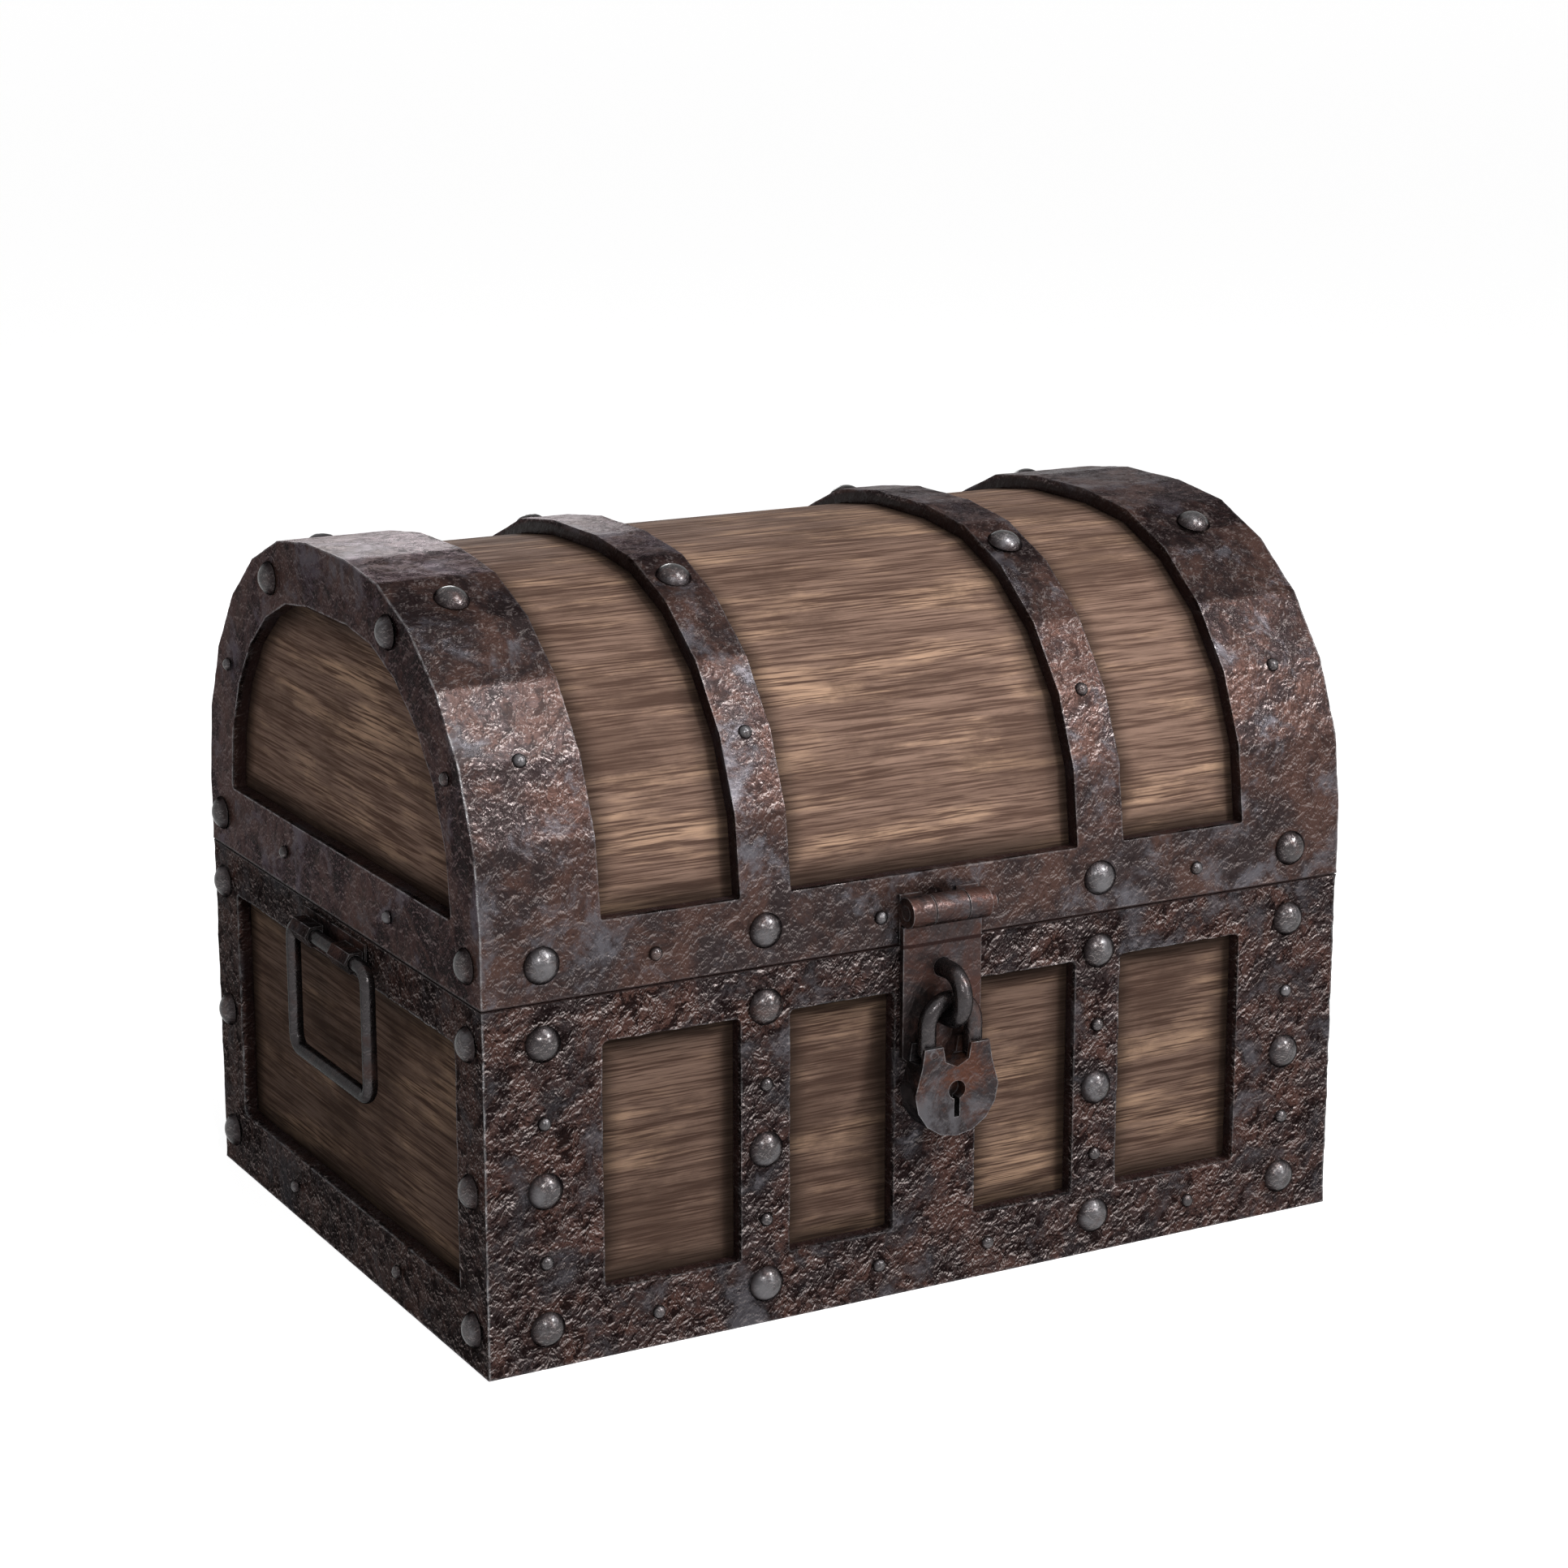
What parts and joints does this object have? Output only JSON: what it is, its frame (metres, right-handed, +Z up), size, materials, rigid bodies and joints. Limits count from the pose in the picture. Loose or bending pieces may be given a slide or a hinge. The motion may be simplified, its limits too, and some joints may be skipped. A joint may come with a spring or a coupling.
{
  "type": "coffer chest",
  "caption": "Iron-bound wooden coffer chest with a hinged barrel lid, nailed straps, side bail handles, a hasp and a padlock; stores and locks away goods.",
  "frame": {"origin": "middle of the underside of the base, where it rests on the floor", "axes": "+X along the length to the chest's right, +Y to its back (the padlock is on the -Y face), +Z up"},
  "size_m": [0.6276, 0.4815, 0.4524],
  "materials": {
    "chest_wood": "old brown timber with streaky grain, darkened beside the irons",
    "binding_iron": "hammered iron with brown rust and worn bright edges",
    "nail_iron": "dark domed heads, rubbed smooth on top",
    "fitting_iron": "dark forged iron, smoother than the straps, rust in the hollows",
    "padlock_iron": "dark cast iron, rubbed bright on its edges, rust blotches"
  },
  "bodies": {
    "base": {"front_board": "chest_wood", "back_board": "chest_wood", "left_end_board": "chest_wood", "right_end_board": "chest_wood", "bottom_board": "chest_wood", "front_left_corner_iron": "binding_iron", "front_right_corner_iron": "binding_iron", "back_left_corner_iron": "binding_iron", "back_right_corner_iron": "binding_iron", "front_bottom_rail": "binding_iron", "front_top_rail": "binding_iron", "back_bottom_rail": "binding_iron", "back_top_rail": "binding_iron", "front_left_strap": "binding_iron", "front_right_strap": "binding_iron", "front_centre_strap": "binding_iron", "back_left_strap": "binding_iron", "back_right_strap": "binding_iron", "left_end_bottom_rail": "binding_iron", "left_end_top_rail": "binding_iron", "right_end_bottom_rail": "binding_iron", "right_end_top_rail": "binding_iron", "base_large_nails": "nail_iron", "base_small_nails": "nail_iron", "left_hinge_base_leaf": "fitting_iron", "right_hinge_base_leaf": "fitting_iron", "left_hinge_pin": "fitting_iron", "right_hinge_pin": "fitting_iron", "left_handle_bracket": "fitting_iron", "right_handle_bracket": "fitting_iron"},
    "lid": {"lid_front_board": "chest_wood", "lid_back_board": "chest_wood", "lid_left_end_board": "chest_wood", "lid_right_end_board": "chest_wood", "lid_staves": "chest_wood", "lid_left_end_band": "binding_iron", "lid_right_end_band": "binding_iron", "lid_left_strap": "binding_iron", "lid_right_strap": "binding_iron", "lid_left_arch_plate": "binding_iron", "lid_right_arch_plate": "binding_iron", "lid_left_end_rail": "binding_iron", "lid_right_end_rail": "binding_iron", "lid_front_rail": "binding_iron", "lid_back_rail": "binding_iron", "lid_large_nails": "nail_iron", "lid_small_nails": "nail_iron", "left_hinge_lid_leaf": "fitting_iron", "right_hinge_lid_leaf": "fitting_iron", "hasp_leaf": "fitting_iron", "hasp_pin": "fitting_iron"},
    "hasp": {"hasp_plate": "fitting_iron", "hasp_staple": "fitting_iron"},
    "shackle": {"padlock_shackle": "padlock_iron"},
    "padlock": {"padlock_case": "padlock_iron", "padlock_pin": "padlock_iron"},
    "left_bail": {"left_handle": "fitting_iron"},
    "right_bail": {"right_handle": "fitting_iron"}
  },
  "joints": [
    {"name": "lid_hinge", "type": "hinge", "parent": "base", "child": "lid", "pos_m": [0, 0.223, 0.2235], "axis": [-1, 0, 0], "range_deg": [0, 105]},
    {"name": "hasp_hinge", "type": "hinge", "parent": "lid", "child": "hasp", "pos_m": [0, -0.2259, 0.2458], "axis": [-1, 0, 0], "range_deg": [0, 100]},
    {"name": "padlock_swing", "type": "hinge", "parent": "hasp", "child": "shackle", "pos_m": [0, -0.2319, 0.18995], "axis": [-1, 0, 0], "range_deg": [0, 60]},
    {"name": "padlock_open", "type": "hinge", "parent": "shackle", "child": "padlock", "pos_m": [-0.01625, -0.2319, 0.1594], "axis": [0, 1, 0], "range_deg": [0, 60]},
    {"name": "left_handle_swing", "type": "hinge", "parent": "base", "child": "left_bail", "pos_m": [-0.3064, 0, 0.2078], "axis": [0, 1, 0], "range_deg": [0, 150]},
    {"name": "right_handle_swing", "type": "hinge", "parent": "base", "child": "right_bail", "pos_m": [0.3064, 0, 0.2078], "axis": [0, -1, 0], "range_deg": [0, 150]}
  ]
}
